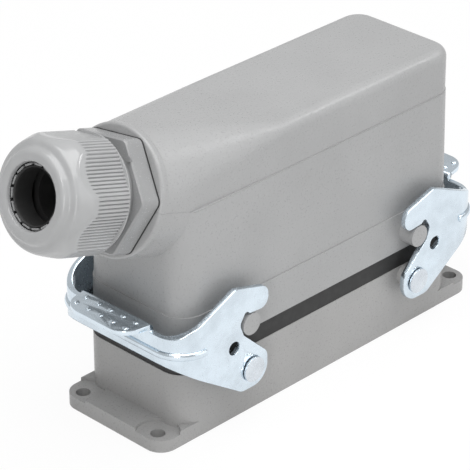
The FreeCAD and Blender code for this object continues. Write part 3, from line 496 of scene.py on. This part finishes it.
class Bench:
    """Modelling steps that the pieces share, each an edit as made by hand."""

    WELD_M = 1e-6  # for doubles of a modelled piece
    MERGE_M = 1e-5  # for slivers of a CAD node, before its edges are rounded
    FLAT_DEG = 0.6
    SHARP_DEG = 40.0

    @staticmethod
    def clear() -> None:
        """Leaves edit mode and deselects everything."""
        if bpy.context.object is not None and bpy.context.object.mode != "OBJECT":
            bpy.ops.object.mode_set(mode="OBJECT")
        bpy.ops.object.select_all(action="DESELECT")

    @staticmethod
    def take(piece: bpy.types.Object) -> None:
        """Makes one piece the only selected and active one.

        Args:
            piece: The piece to work on.
        """
        Bench.clear()
        piece.select_set(True)
        bpy.context.view_layer.objects.active = piece

    @staticmethod
    def edit() -> None:
        """Enters edit mode with the whole mesh selected."""
        bpy.ops.object.mode_set(mode="EDIT")
        bpy.ops.mesh.select_all(action="SELECT")

    @staticmethod
    def start(name: str) -> bpy.types.Object:
        """Names the new primitive, puts its place into its mesh and opens it for editing.

        Args:
            name: Name of the piece.

        Returns:
            The piece, in edit mode with all of it selected.
        """
        piece = bpy.context.object
        piece.name = name
        bpy.ops.object.transform_apply(location=True, rotation=True, scale=True)
        Bench.edit()
        return piece

    @staticmethod
    def push(x: float = 0.0, y: float = 0.0, z: float = 0.0) -> None:
        """Extrudes what is selected by a step in millimetres."""
        bpy.ops.mesh.extrude_region_move(TRANSFORM_OT_translate={"value": metres(x, y, z)})

    @staticmethod
    def repeat(x: float = 0.0, y: float = 0.0) -> None:
        """Copies what is selected, a step in millimetres away."""
        bpy.ops.mesh.duplicate_move(TRANSFORM_OT_translate={"value": metres(x, y, 0.0)})

    @staticmethod
    def scale(shares: Point, centre: Point) -> None:
        """Scales what is selected about a point in millimetres."""
        bpy.ops.transform.resize(value=shares, center_override=metres(*centre))

    @staticmethod
    def close() -> None:
        """Merges doubles, points the faces outwards and leaves edit mode."""
        bpy.ops.mesh.select_all(action="SELECT")
        bpy.ops.mesh.remove_doubles(threshold=Bench.WELD_M)
        bpy.ops.mesh.normals_make_consistent(inside=False)
        bpy.ops.object.mode_set(mode="OBJECT")

    @staticmethod
    def lathe(name: str, profile: Profile, sides: int) -> bpy.types.Object:
        """Turns a closed profile by extruding a circle from station to station.

        Args:
            name: Name of the piece.
            profile: Radius and height of each station in millimetres.
            sides: Sides of the circle.

        Returns:
            The turned piece, upright on its own Z.
        """
        Bench.clear()
        radius, height = profile[0]
        bpy.ops.mesh.primitive_circle_add(vertices=sides, radius=radius * MM,
                                          location=metres(0, 0, height))
        piece = Bench.start(name)
        for next_radius, next_height in profile[1:] + profile[:1]:
            Bench.push(z=next_height - height)
            share = next_radius / radius
            Bench.scale((share, share, 1), (0, 0, next_height))
            radius, height = next_radius, next_height
        Bench.close()
        return piece

    @staticmethod
    def copy_of(node: str, name: str) -> bpy.types.Object:
        """Copies a CAD node and merges its loose faces.

        Args:
            node: The CAD node.
            name: Name of the copy.

        Returns:
            The copy, which stands for the node.
        """
        piece = bpy.data.objects.new(name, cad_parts[node].data.copy())
        bpy.context.scene.collection.objects.link(piece)
        Bench.take(piece)
        Bench.edit()
        bpy.ops.mesh.remove_doubles(threshold=Bench.WELD_M)
        bpy.ops.mesh.select_all(action="DESELECT")
        bpy.ops.object.mode_set(mode="OBJECT")
        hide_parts(node)
        return piece

    @staticmethod
    def round_edges(piece: bpy.types.Object, width: float, steps: int = 2) -> None:
        """Merges flat faces and rounds the sharp edges of a piece.

        Args:
            piece: The piece.
            width: Width of the rounding in millimetres.
            steps: Faces across the rounding.
        """
        Bench.take(piece)
        Bench.edit()
        bpy.ops.mesh.remove_doubles(threshold=Bench.MERGE_M)
        bpy.ops.mesh.dissolve_degenerate(threshold=Bench.MERGE_M)
        bpy.ops.mesh.select_all(action="SELECT")
        bpy.ops.mesh.dissolve_limited(angle_limit=math.radians(Bench.FLAT_DEG))
        bpy.ops.object.mode_set(mode="OBJECT")
        edge = piece.modifiers.new("edge", "BEVEL")
        edge.width, edge.segments, edge.limit_method = width * MM, steps, "ANGLE"
        edge.angle_limit, edge.use_clamp_overlap = math.radians(Bench.SHARP_DEG), False
        bpy.ops.object.modifier_apply(modifier=edge.name)

    @staticmethod
    def finish(piece: bpy.types.Object, finish: Finish, body: str,
               smooth_deg: float = 30.0) -> bpy.types.Object:
        """Smooths a piece, dresses it and lets it ride on its body.

        Args:
            piece: The modelled piece.
            finish: Its finish.
            body: The body it moves with.
            smooth_deg: Edges sharper than this stay sharp.

        Returns:
            The same piece.
        """
        Bench.take(piece)
        bpy.ops.object.shade_smooth_by_angle(angle=math.radians(smooth_deg))
        piece.data.materials.clear()
        piece.data.materials.append(finish.material())
        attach(piece, body)
        LOG.info("modelled %s, %d faces, rides on %s", piece.name, len(piece.data.polygons), body)
        return piece


def dress(names: Sequence[str], finish: Finish) -> None:
    """Gives CAD nodes a finish.

    Args:
        names: The nodes.
        finish: Their finish.
    """
    for name in names:
        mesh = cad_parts[name].data
        mesh.materials.clear()
        mesh.materials.append(finish.material())
        LOG.info("dressed %s in %s", name, finish.value.name)


@dataclass
class Housings:
    """The two castings with the seals between and under them, all as built in CAD."""

    hood: str = "hood_housing"
    base: str = "base_housing"
    seals: tuple[str, ...] = ("rim_gasket", "panel_seal")

    def dress(self) -> None:
        """Gives the castings and seals their finishes."""
        dress([self.hood], Finish.HOOD)
        dress([self.base], Finish.BASE)
        dress(self.seals, Finish.GASKET)


@dataclass
class Locks:
    """The two locking levers on their rivets, sizes in millimetres."""

    edge: float = 0.28
    rivet_edge: float = 0.14
    rivet_steps: int = 3
    rivet_smooth_deg: float = 25.0
    band_x: float = 66.0
    leg_y: float = 26.8
    bend_r: float = 10.0
    bend_steps: int = 12
    square_bead: tuple[float, float] = (31.0, 33.4)
    bead_z: float = 32.3
    bead_r: float = 1.2
    bead_sides: int = 20
    bead_flat: float = 0.7
    bead_back: float = 0.2
    nose_share: float = 0.45
    nose_long: float = 0.5
    plate_z: float = 40.1
    dome_r: float = 1.0
    dome_segments: int = 16
    dome_rings: int = 10
    dome_high: float = 0.55
    dome_sunk: float = 0.02
    dome_past: float = 1.5
    dome_pitch: float = 5.2
    dome_columns: int = 5
    dome_rows: float = 4.1
    round_smooth_deg: float = 50.0

    def lever(self, side: Side) -> bpy.types.Object:
        """Presses the CAD's bead flat on one lever and rounds its stamped edges.

        Args:
            side: Which lever.

        Returns:
            The lever.
        """
        piece = Bench.copy_of(f"lever_{side.tag}", f"lever_{side.tag}_stamping")
        self.flatten(piece)
        Bench.round_edges(piece, self.edge)
        return Bench.finish(piece, Finish.ZINC, f"{side.tag}_lever")

    def flatten(self, piece: bpy.types.Object) -> None:
        """Presses the CAD's square bead back into the sheet, where the round one covers it.

        Args:
            piece: The copy of a lever.
        """
        low, high = self.square_bead
        centre = Vector((self.band_x - self.bend_r, self.leg_y - self.bend_r))
        for vertex in piece.data.vertices:
            x, y, z = (abs(c) / MM for c in vertex.co)
            if not low < z < high:
                continue
            arm = Vector((x, y)) - centre
            if min(arm) > 0:
                arm *= min(1.0, self.bend_r / arm.length)
            else:
                arm = Vector((min(arm.x, self.bend_r), min(arm.y, self.bend_r)))
            arm += centre
            vertex.co.x = math.copysign(arm.x * MM, vertex.co.x)
            vertex.co.y = math.copysign(arm.y * MM, vertex.co.y)
        piece.data.update()

    def bend(self, post_y: float) -> None:
        """Rolls the bead's open end a quarter turn round a post."""
        bpy.ops.mesh.spin(steps=self.bend_steps, angle=math.pi / 2, axis=(0, 0, 1),
                          center=metres(self.band_x - self.bend_r, post_y, self.bead_z))

    def bead(self, side: Side) -> bpy.types.Object:
        """Models the rolled bead: a round section extruded along the band and its bends.

        Args:
            side: Which lever.

        Returns:
            The bead.
        """
        Bench.clear()
        swell = 1 / self.nose_share
        post_y = self.leg_y - self.bend_r
        nose_x = self.band_x - self.bend_r - self.bead_back - self.nose_long
        bpy.ops.mesh.primitive_circle_add(
            vertices=self.bead_sides, radius=self.bead_r * self.nose_share * MM,
            fill_type="NGON", location=metres(nose_x, self.leg_y, self.bead_z),
            rotation=(0, math.pi / 2, 0))
        piece = Bench.start(f"lever_{side.tag}_bead")
        Bench.scale((1, self.bead_flat, 1), (0, self.leg_y, 0))
        Bench.push(x=self.nose_long)
        Bench.scale((1, swell, swell), (0, self.leg_y, self.bead_z))
        Bench.push(x=self.bead_back)
        self.bend(post_y)
        Bench.push(y=-2 * post_y)
        self.bend(-post_y)
        Bench.push(x=-self.bead_back)
        Bench.push(x=-self.nose_long)
        Bench.scale((1, self.nose_share, self.nose_share), (0, -self.leg_y, self.bead_z))
        bpy.ops.mesh.select_all(action="SELECT")
        if side is Side.LEFT:
            Bench.scale((-1, 1, 1), (0, 0, 0))
        Bench.close()
        return Bench.finish(piece, Finish.ZINC, f"{side.tag}_lever", self.round_smooth_deg)

    def grip(self, side: Side) -> bpy.types.Object:
        """Models one pressed dome and copies it over the thumb plate.

        Args:
            side: Which lever.

        Returns:
            The ten domes, in two rows.
        """
        Bench.clear()
        first_x = (self.band_x + self.dome_past) * side.value
        first_y = -self.dome_pitch * (self.dome_columns - 1) / 2
        bpy.ops.mesh.primitive_uv_sphere_add(
            segments=self.dome_segments, ring_count=self.dome_rings, radius=self.dome_r * MM,
            location=metres(first_x, first_y, self.plate_z))
        piece = Bench.start(f"lever_{side.tag}_grip")
        Bench.scale((1, 1, self.dome_high / self.dome_r), (0, 0, self.plate_z))
        bpy.ops.mesh.bisect(plane_co=metres(0, 0, self.plate_z - self.dome_sunk),
                            plane_no=(0, 0, 1), use_fill=True, clear_inner=True)
        bpy.ops.mesh.select_all(action="SELECT")
        for _ in range(self.dome_columns - 1):
            Bench.repeat(y=self.dome_pitch)
        bpy.ops.mesh.select_all(action="SELECT")
        Bench.repeat(x=self.dome_rows * side.value)
        bpy.ops.object.mode_set(mode="OBJECT")
        return Bench.finish(piece, Finish.ZINC, f"{side.tag}_lever", self.round_smooth_deg)

    def rivets(self) -> bpy.types.Object:
        """Rounds the heads of the pivot rivets.

        Returns:
            The four rivets.
        """
        heads = Bench.copy_of("pivot_rivets", "rivet_heads")
        Bench.round_edges(heads, self.rivet_edge, self.rivet_steps)
        return Bench.finish(heads, Finish.RIVET, "housing", self.rivet_smooth_deg)

    def build(self) -> None:
        """Builds both levers and their rivets."""
        for side in Side:
            self.lever(side)
            self.bead(side)
            self.grip(side)
        self.rivets()


@dataclass
class Gland:
    """The cable gland: nut, clamp and seals, modelled upright and laid on the gland's axis.

    Sizes are in millimetres: radii from the axis, heights from the face of the hood's neck.
    """

    face: Point = (-65.9, 0.0, 78.4)
    tilt_deg: float = 17.5
    hex_turn_deg: float = 8.0
    circle_corner_deg: float = 30.0  # where a six-sided circle has a corner
    flat_half: float = 16.5
    round_r: float = 17.75
    rib_count: int = 96
    rib_depths: tuple[float, ...] = (0.0, 0.06, 1.0, 0.06)  # at the columns of one rib
    rib_deep: float = 0.5
    rib_start: float = 10.8
    rib_end: float = 23.0
    rib_fade: float = 0.9
    rib_arch: float = 1.84
    skirt_r: float = 15.0
    nut_smooth_deg: float = 28.0
    nut_profile: Profile = (
        (14.9, 10.0), (17.0, 10.0), (17.3, 10.3), (17.3, 10.7), (17.75, 10.8), (17.75, 12.5),
        (17.75, 14.5), (17.75, 16.5), (17.75, 18.5), (17.75, 20.0), (17.75, 21.5),
        (17.75, 22.2), (17.75, 22.8), (17.75, 23.3), (17.75, 23.8), (17.7, 24.4),
        (17.58, 25.0), (17.38, 25.6), (17.15, 26.2), (16.9, 26.8), (16.68, 27.35),
        (16.5, 27.8), (16.32, 28.25), (16.12, 28.72), (15.85, 29.15), (15.5, 29.48),
        (15.1, 29.7), (14.65, 29.85), (14.2, 30.0), (13.85, 30.2), (13.62, 30.5),
        (13.4, 30.88), (13.1, 31.25), (12.75, 31.55), (12.35, 31.78), (12.0, 31.88),
        (11.6, 31.88), (10.8, 31.8), (10.2, 31.68), (9.85, 31.5), (9.65, 31.2),
        (9.6, 30.8), (9.6, 30.3), (13.2, 24.3), (14.9, 23.8))
    claw_count: int = 15
    claw_middle: Point = (10.6, 0.0, 26.75)
    claw_size: Point = (1.2, 3.0, 6.7)
    claw_bend_t: float = 29.0
    claw_taper: Point = (0.5, 0.95, 1.0)
    claw_taper_about: Point = (10.0, 0.0, 30.0)
    claw_tapered: tuple[float, float] = (10.3, 30.1)  # middle and top of the tapered tip
    claw_tip: tuple[float, float] = (8.95, 30.3)  # where that tip is bent to
    claw_edge: float = 0.12
    claw_edge_steps: int = 2
    collar_profile: Profile = ((9.3, 23.4), (11.4, 23.4), (11.4, 24.8), (9.3, 24.8))
    collar_sides: int = 60
    sleeve_profile: Profile = (
        (8.6, 30.0), (8.4, 30.2), (8.2, 30.05), (8.05, 29.6), (8.0, 28.6), (8.0, 23.4),
        (9.2, 23.4), (9.2, 26.0))
    sleeve_sides: int = 96
    turned_smooth_deg: float = 40.0
    # How far the black seal stands past the hexagon's flats; this rim is painted shadow, a thin
    # dark line for the shaded gap behind the hexagon.
    washer_shade_line_past: float = 0.12
    washer_low: float = 0.03
    washer_top: float = 0.42
    foot_short: float = 0.03
    foot_top: float = 1.45
    plate_bore_r: float = 14.6
    corner_round: float = 1.27
    corner_steps: int = 6
    corner_beyond_r: float = 17.0
    corner_min_high: float = 0.2
    slack: float = 0.01

    def lay(self, piece: bpy.types.Object) -> None:
        """Lays an upright mesh on the gland's axis.

        Args:
            piece: The piece, its mesh along Z.
        """
        tilt = math.radians(self.tilt_deg)
        turn = Matrix(((0, -1, 0), (math.sin(tilt), 0, math.cos(tilt)),
                       (-math.cos(tilt), 0, math.sin(tilt)))).transposed().to_4x4()
        piece.data.transform(Matrix.Translation(Vector(self.face) * MM) @ turn)
        piece.data.update()

    def hex_radius(self, angle: float) -> float:
        """Radius of the rounded hexagon at an angle.

        Args:
            angle: Angle round the axis in radians.

        Returns:
            The radius in millimetres.
        """
        inside = (angle - math.radians(self.hex_turn_deg)) % SIXTH_TURN - SIXTH_TURN / 2
        return min(self.flat_half / math.cos(inside), self.round_r)

    def press(self, piece: bpy.types.Object) -> None:
        """Presses the hexagon and its fading ribs into the turned nut.

        Args:
            piece: The turned nut, upright, with a column of vertices for each rib depth.
        """
        columns = len(self.rib_depths)
        for vertex in piece.data.vertices:
            radius, height = vertex.co.xy.length / MM, vertex.co.z / MM
            if radius < self.skirt_r or height < self.rib_start - self.slack:
                continue
            angle = math.atan2(vertex.co.y, vertex.co.x)
            outer = self.hex_radius(angle)
            column = round(angle / math.tau * self.rib_count * columns) % columns
            arch_top = self.rib_end + (self.round_r - outer) * self.rib_arch
            fade = min(max((arch_top - height) / self.rib_fade, 0.0), 1.0)
            wanted = min(radius, outer) - self.rib_deep * self.rib_depths[column] * fade
            vertex.co.x *= wanted / radius
            vertex.co.y *= wanted / radius
        piece.data.update()

    def cap_nut(self) -> bpy.types.Object:
        """Models the cap nut: a turned dome pressed to a hexagon with ribs.

        Returns:
            The nut.
        """
        nut = Bench.lathe("cap_nut_shell", self.nut_profile,
                          self.rib_count * len(self.rib_depths))
        self.press(nut)
        self.lay(nut)
        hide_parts("gland_cap_nut")
        return Bench.finish(nut, Finish.NUT, "cap_nut", self.nut_smooth_deg)

    def collar(self) -> bpy.types.Object:
        """Models the collar that holds the fingers together.

        Returns:
            The collar.
        """
        piece = Bench.lathe("clamp_collar", self.collar_profile, self.collar_sides)
        self.lay(piece)
        return Bench.finish(piece, Finish.CLAW, "clamp", self.turned_smooth_deg)

    def select_corners(self, piece: bpy.types.Object) -> None:
        """Selects the upright edges at the corners of a plate while in edit mode.

        Args:
            piece: The plate in edit mode.
        """
        bpy.ops.mesh.select_mode(type="EDGE")
        bpy.ops.mesh.select_all(action="DESELECT")
        bpy.ops.object.mode_set(mode="OBJECT")
        for edge in piece.data.edges:
            first, last = (piece.data.vertices[i].co for i in edge.vertices)
            upright = abs(first.z - last.z) > self.corner_min_high * MM
            edge.select = upright and first.xy.length > self.corner_beyond_r * MM
        bpy.ops.object.mode_set(mode="EDIT")

    def hex_plate(self, name: str, flat_half: float, low: float, high: float) -> bpy.types.Object:
        """Models a hexagonal plate with a hole and rounded corners.

        Args:
            name: Name of the piece.
            flat_half: Half its width across flats in millimetres.
            low: Where it starts along the axis.
            high: Where it ends.

        Returns:
            The plate, laid on the axis.
        """
        corner, bore = flat_half / math.cos(SIXTH_TURN / 2), self.plate_bore_r
        section = ((corner, low), (corner, high), (bore, high), (bore, low))
        piece = Bench.lathe(name, section, HEX_SIDES)
        Bench.edit()
        bpy.ops.transform.rotate(value=math.radians(self.circle_corner_deg - self.hex_turn_deg),
                                 orient_axis="Z", center_override=(0, 0, 0))
        self.select_corners(piece)
        bpy.ops.mesh.bevel(offset=self.corner_round * MM, segments=self.corner_steps,
                           affect="EDGES")
        bpy.ops.mesh.select_mode(type="VERT")
        bpy.ops.object.mode_set(mode="OBJECT")
        self.lay(piece)
        return piece

    def seat(self) -> None:
        """Models the flat seal and the foot of the hexagon that presses it. The black seal is
        real but is made hexagonal and a little wider than the hexagon, so its rim is painted
        shadow: a thin dark line that stands for the shaded gap behind the hexagon.
        """
        washer = self.hex_plate("gland_washer_shade_line", self.flat_half + self.washer_shade_line_past,
                                self.washer_low, self.washer_top)
        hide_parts("gland_ring")
        Bench.finish(washer, Finish.SEAL, "housing")
        foot = self.hex_plate("gland_hex_foot", self.flat_half - self.foot_short,
                              self.washer_top, self.foot_top)
        Bench.finish(foot, Finish.GLAND, "housing")

    @staticmethod
    def select_above(piece: bpy.types.Object, height: float) -> None:
        """Selects the vertices over a height while in edit mode.

        Args:
            piece: The piece in edit mode.
            height: The height in millimetres.
        """
        bpy.ops.mesh.select_all(action="DESELECT")
        bpy.ops.object.mode_set(mode="OBJECT")
        for vertex in piece.data.vertices:
            vertex.select = vertex.co.z > height * MM
        bpy.ops.object.mode_set(mode="EDIT")

    def claws(self) -> bpy.types.Object:
        """Models one clamping finger and copies it round the mouth.

        Returns:
            The fingers.
        """
        Bench.clear()
        bpy.ops.mesh.primitive_cube_add(size=MM, location=metres(*self.claw_middle))
        bpy.context.object.scale = self.claw_size
        piece = Bench.start("clamp_fingers")
        self.select_above(piece, self.claw_bend_t)
        Bench.scale(self.claw_taper, self.claw_taper_about)
        inwards, along = (to - at for to, at in zip(self.claw_tip, self.claw_tapered))
        bpy.ops.transform.translate(value=metres(inwards, 0, along))
        bpy.ops.mesh.select_all(action="SELECT")
        bpy.ops.mesh.bevel(offset=self.claw_edge * MM, segments=self.claw_edge_steps,
                           affect="EDGES")
        bpy.ops.mesh.select_all(action="SELECT")
        copies = self.claw_count - 1
        bpy.ops.mesh.spin(steps=copies, dupli=True, angle=math.tau * copies / self.claw_count,
                          center=(0, 0, 0), axis=(0, 0, 1))
        bpy.ops.object.mode_set(mode="OBJECT")
        self.lay(piece)
        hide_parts("gland_claws")
        return Bench.finish(piece, Finish.CLAW, "clamp")

    def sleeve(self) -> bpy.types.Object:
        """Models the rubber sleeve inside the fingers.

        Returns:
            The sleeve.
        """
        piece = Bench.lathe("clamp_sleeve", self.sleeve_profile, self.sleeve_sides)
        self.lay(piece)
        return Bench.finish(piece, Finish.SEAL, "clamp", self.turned_smooth_deg)

    def build(self) -> None:
        """Builds the modelled pieces and dresses the rest of the gland."""
        self.cap_nut()
        self.collar()
        self.seat()
        self.claws()
        self.sleeve()
        dress(["gland_body"], Finish.GLAND)
        dress(["gland_seal"], Finish.SEAL)


@dataclass
class Inserts:
    """The two contact inserts with their metal parts, all as built in CAD."""

    inserts: tuple[str, ...] = ("socket_insert", "pin_insert")
    contacts: tuple[str, ...] = ("socket_contacts", "pin_contacts")
    fixings: tuple[str, ...] = (
        "base_terminal_screws", "hood_terminal_screws", "base_insert_screws",
        "hood_insert_screws", "base_earth_plates", "hood_earth_plates")

    def dress(self) -> None:
        """Gives the inserts and their metal parts their finishes."""
        dress(self.inserts, Finish.INSERT)
        dress(self.contacts, Finish.CONTACT)
        dress(self.fixings, Finish.SCREW)


@dataclass(frozen=True)
class SoftBox:
    """A rectangular lamp, its place and size in metres and its power in watts."""

    name: str
    place: Point
    wide: float
    high: float
    power: float


@dataclass
class Studio:
    """Pale floor, soft lamps and the camera of the photograph, in metres."""

    floor_half: float = 1.6
    floor_z: float = -0.0002
    floor_level: float = 0.86
    floor_seen: float = 0.93
    floor_mirrored: float = 0.5
    sky_level: float = 0.9
    sky_strength: float = 0.27
    sky_mirrored: float = 0.45
    camera_place: Point = (-0.52010, -0.49669, 0.43570)
    azimuth_deg: float = -45.385
    elevation_deg: float = 28.939
    roll_deg: float = -0.079
    lens_mm: float = 207.3
    sensor_mm: float = 36.0
    clip: tuple[float, float] = (0.05, 20.0)
    lamp_aim: Point = (-0.01, 0.0, 0.05)
    lamps: tuple[SoftBox, ...] = (
        SoftBox("top_box", (-0.10, -0.15, 1.3), 1.3, 1.3, 18.2),
        SoftBox("front_box", (0.35, -1.30, 0.50), 0.9, 1.1, 2.9),
        SoftBox("edge_box", (1.0, -0.60, 1.0), 0.25, 0.35, 2.6),
        SoftBox("strip_low", (-0.90, -0.60, 0.28), 0.11, 0.50, 1.9),
        SoftBox("strip_high", (-0.80, -0.42, 0.90), 0.11, 0.36, 1.3))

    def floor(self) -> bpy.types.Object:
        """Makes the pale floor that reads as the white background.

        Returns:
            The floor.
        """
        Bench.clear()
        bpy.ops.mesh.primitive_plane_add(size=self.floor_half * 2, location=(0, 0, self.floor_z))
        floor = bpy.context.object
        floor.name = "studio_floor"
        g = Graph(bpy.data.materials.new("floor_white"))
        lit = g.node("ShaderNodeBsdfDiffuse", {}, {"Color": grey(self.floor_level)})
        glow = g.node("ShaderNodeEmission", {}, {"Color": grey(1.0), "Strength": 1.0})
        seen = g.ray(Ray.CAMERA) * self.floor_seen
        share = seen.math("MAXIMUM", g.ray(Ray.GLOSSY) * self.floor_mirrored)
        g.close(g.node("ShaderNodeMixShader", {}, {0: share, 1: lit, 2: glow}))
        floor.data.materials.append(g.owner)
        return floor

    def world(self) -> None:
        """Sets the even surroundings: dim as light, paler in mirrors, white to the camera."""
        world = bpy.data.worlds.new("studio")
        bpy.context.scene.world = world
        g = Graph(world, "ShaderNodeOutputWorld")
        sky = g.node("ShaderNodeBackground", {}, {0: grey(self.sky_level), 1: self.sky_strength})
        white = g.node("ShaderNodeBackground", {}, {0: grey(1.0)})
        share = g.ray(Ray.GLOSSY) * self.sky_mirrored + g.ray(Ray.CAMERA)
        g.close(g.node("ShaderNodeMixShader", {}, {0: share, 1: sky, 2: white}))

    def light(self) -> None:
        """Hangs the soft lamps, each facing the middle of the connector."""
        aim = Vector(self.lamp_aim)
        for box in self.lamps:
            lamp = bpy.data.lights.new(box.name, "AREA")
            lamp.shape, lamp.size, lamp.size_y, lamp.energy = (
                "RECTANGLE", box.wide, box.high, box.power)
            holder = bpy.data.objects.new(box.name, lamp)
            holder.location = box.place
            facing = (aim - Vector(box.place)).to_track_quat("-Z", "Y")
            holder.rotation_euler = facing.to_euler()
            bpy.context.scene.collection.objects.link(holder)

    def camera(self) -> None:
        """Puts the camera where the photograph was taken from."""
        az, el, roll = map(math.radians, (self.azimuth_deg, self.elevation_deg, self.roll_deg))
        back = Vector((math.sin(az) * math.cos(el), -math.cos(az) * math.cos(el), math.sin(el)))
        level = Vector((math.cos(az), math.sin(az), 0))
        upright = back.cross(level)
        right = level * math.cos(roll) + upright * math.sin(roll)
        up = upright * math.cos(roll) - level * math.sin(roll)
        data = bpy.data.cameras.new("photo_camera")
        data.lens, data.sensor_width, data.sensor_fit = self.lens_mm, self.sensor_mm, "HORIZONTAL"
        data.clip_start, data.clip_end = self.clip
        camera = bpy.data.objects.new("photo_camera", data)
        turn = Matrix((right, up, back)).transposed().to_4x4()
        camera.matrix_world = Matrix.Translation(self.camera_place) @ turn
        bpy.context.scene.collection.objects.link(camera)
        bpy.context.scene.camera = camera

    def build(self) -> None:
        """Sets up the whole studio."""
        self.floor()
        self.world()
        self.light()
        self.camera()
        bpy.context.scene.view_settings.view_transform = "Standard"


def main() -> None:
    """Dresses the connector, piece by piece, and sets the studio."""
    Housings().dress()
    Locks().build()
    Gland().build()
    Inserts().dress()
    Studio().build()
    bpy.context.view_layer.update()


if __name__ == "__main__":
    main()
